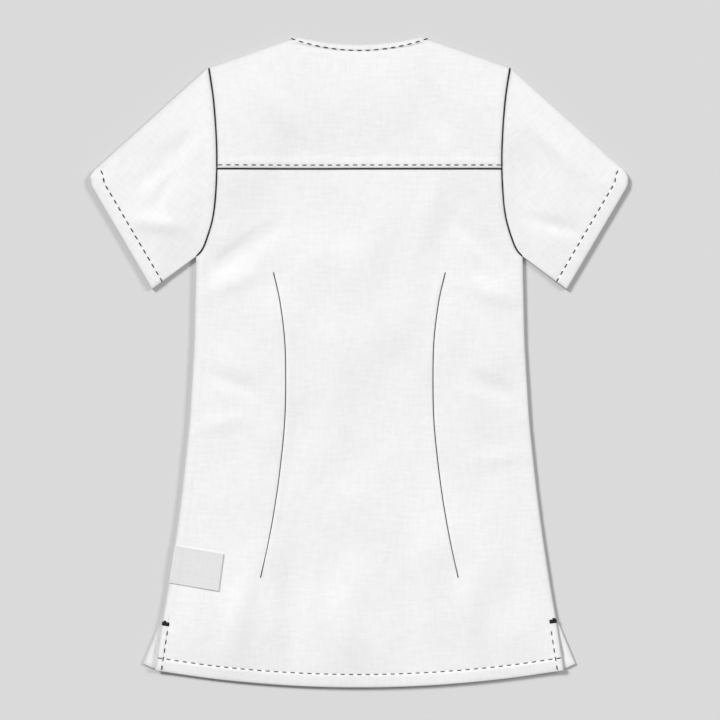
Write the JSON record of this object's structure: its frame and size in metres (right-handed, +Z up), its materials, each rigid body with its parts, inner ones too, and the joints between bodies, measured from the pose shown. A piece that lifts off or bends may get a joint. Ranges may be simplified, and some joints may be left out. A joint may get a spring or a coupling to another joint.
{
  "type": "scrub top",
  "caption": "Short-sleeved scrub top laid flat, back up, with a back yoke, waist darts, curved hem and side vents.",
  "frame": {"origin": "on the surface it lies on, under the middle of the garment's width and length", "axes": "+X to the wearer's right, +Y towards the neck, +Z up out of the back"},
  "size_m": [0.6022, 0.73, 0.0061],
  "materials": {
    "body_cloth": "matt white poly-cotton weave",
    "label_cloth": "matt light grey woven tape",
    "stitching": "black sewing thread"
  },
  "bodies": {
    "root": {"front_panel": "body_cloth", "back_panel": "body_cloth", "back_yoke": "body_cloth", "sleeve_left": "body_cloth", "sleeve_right": "body_cloth", "side_label": "label_cloth"}
  },
  "joints": []
}
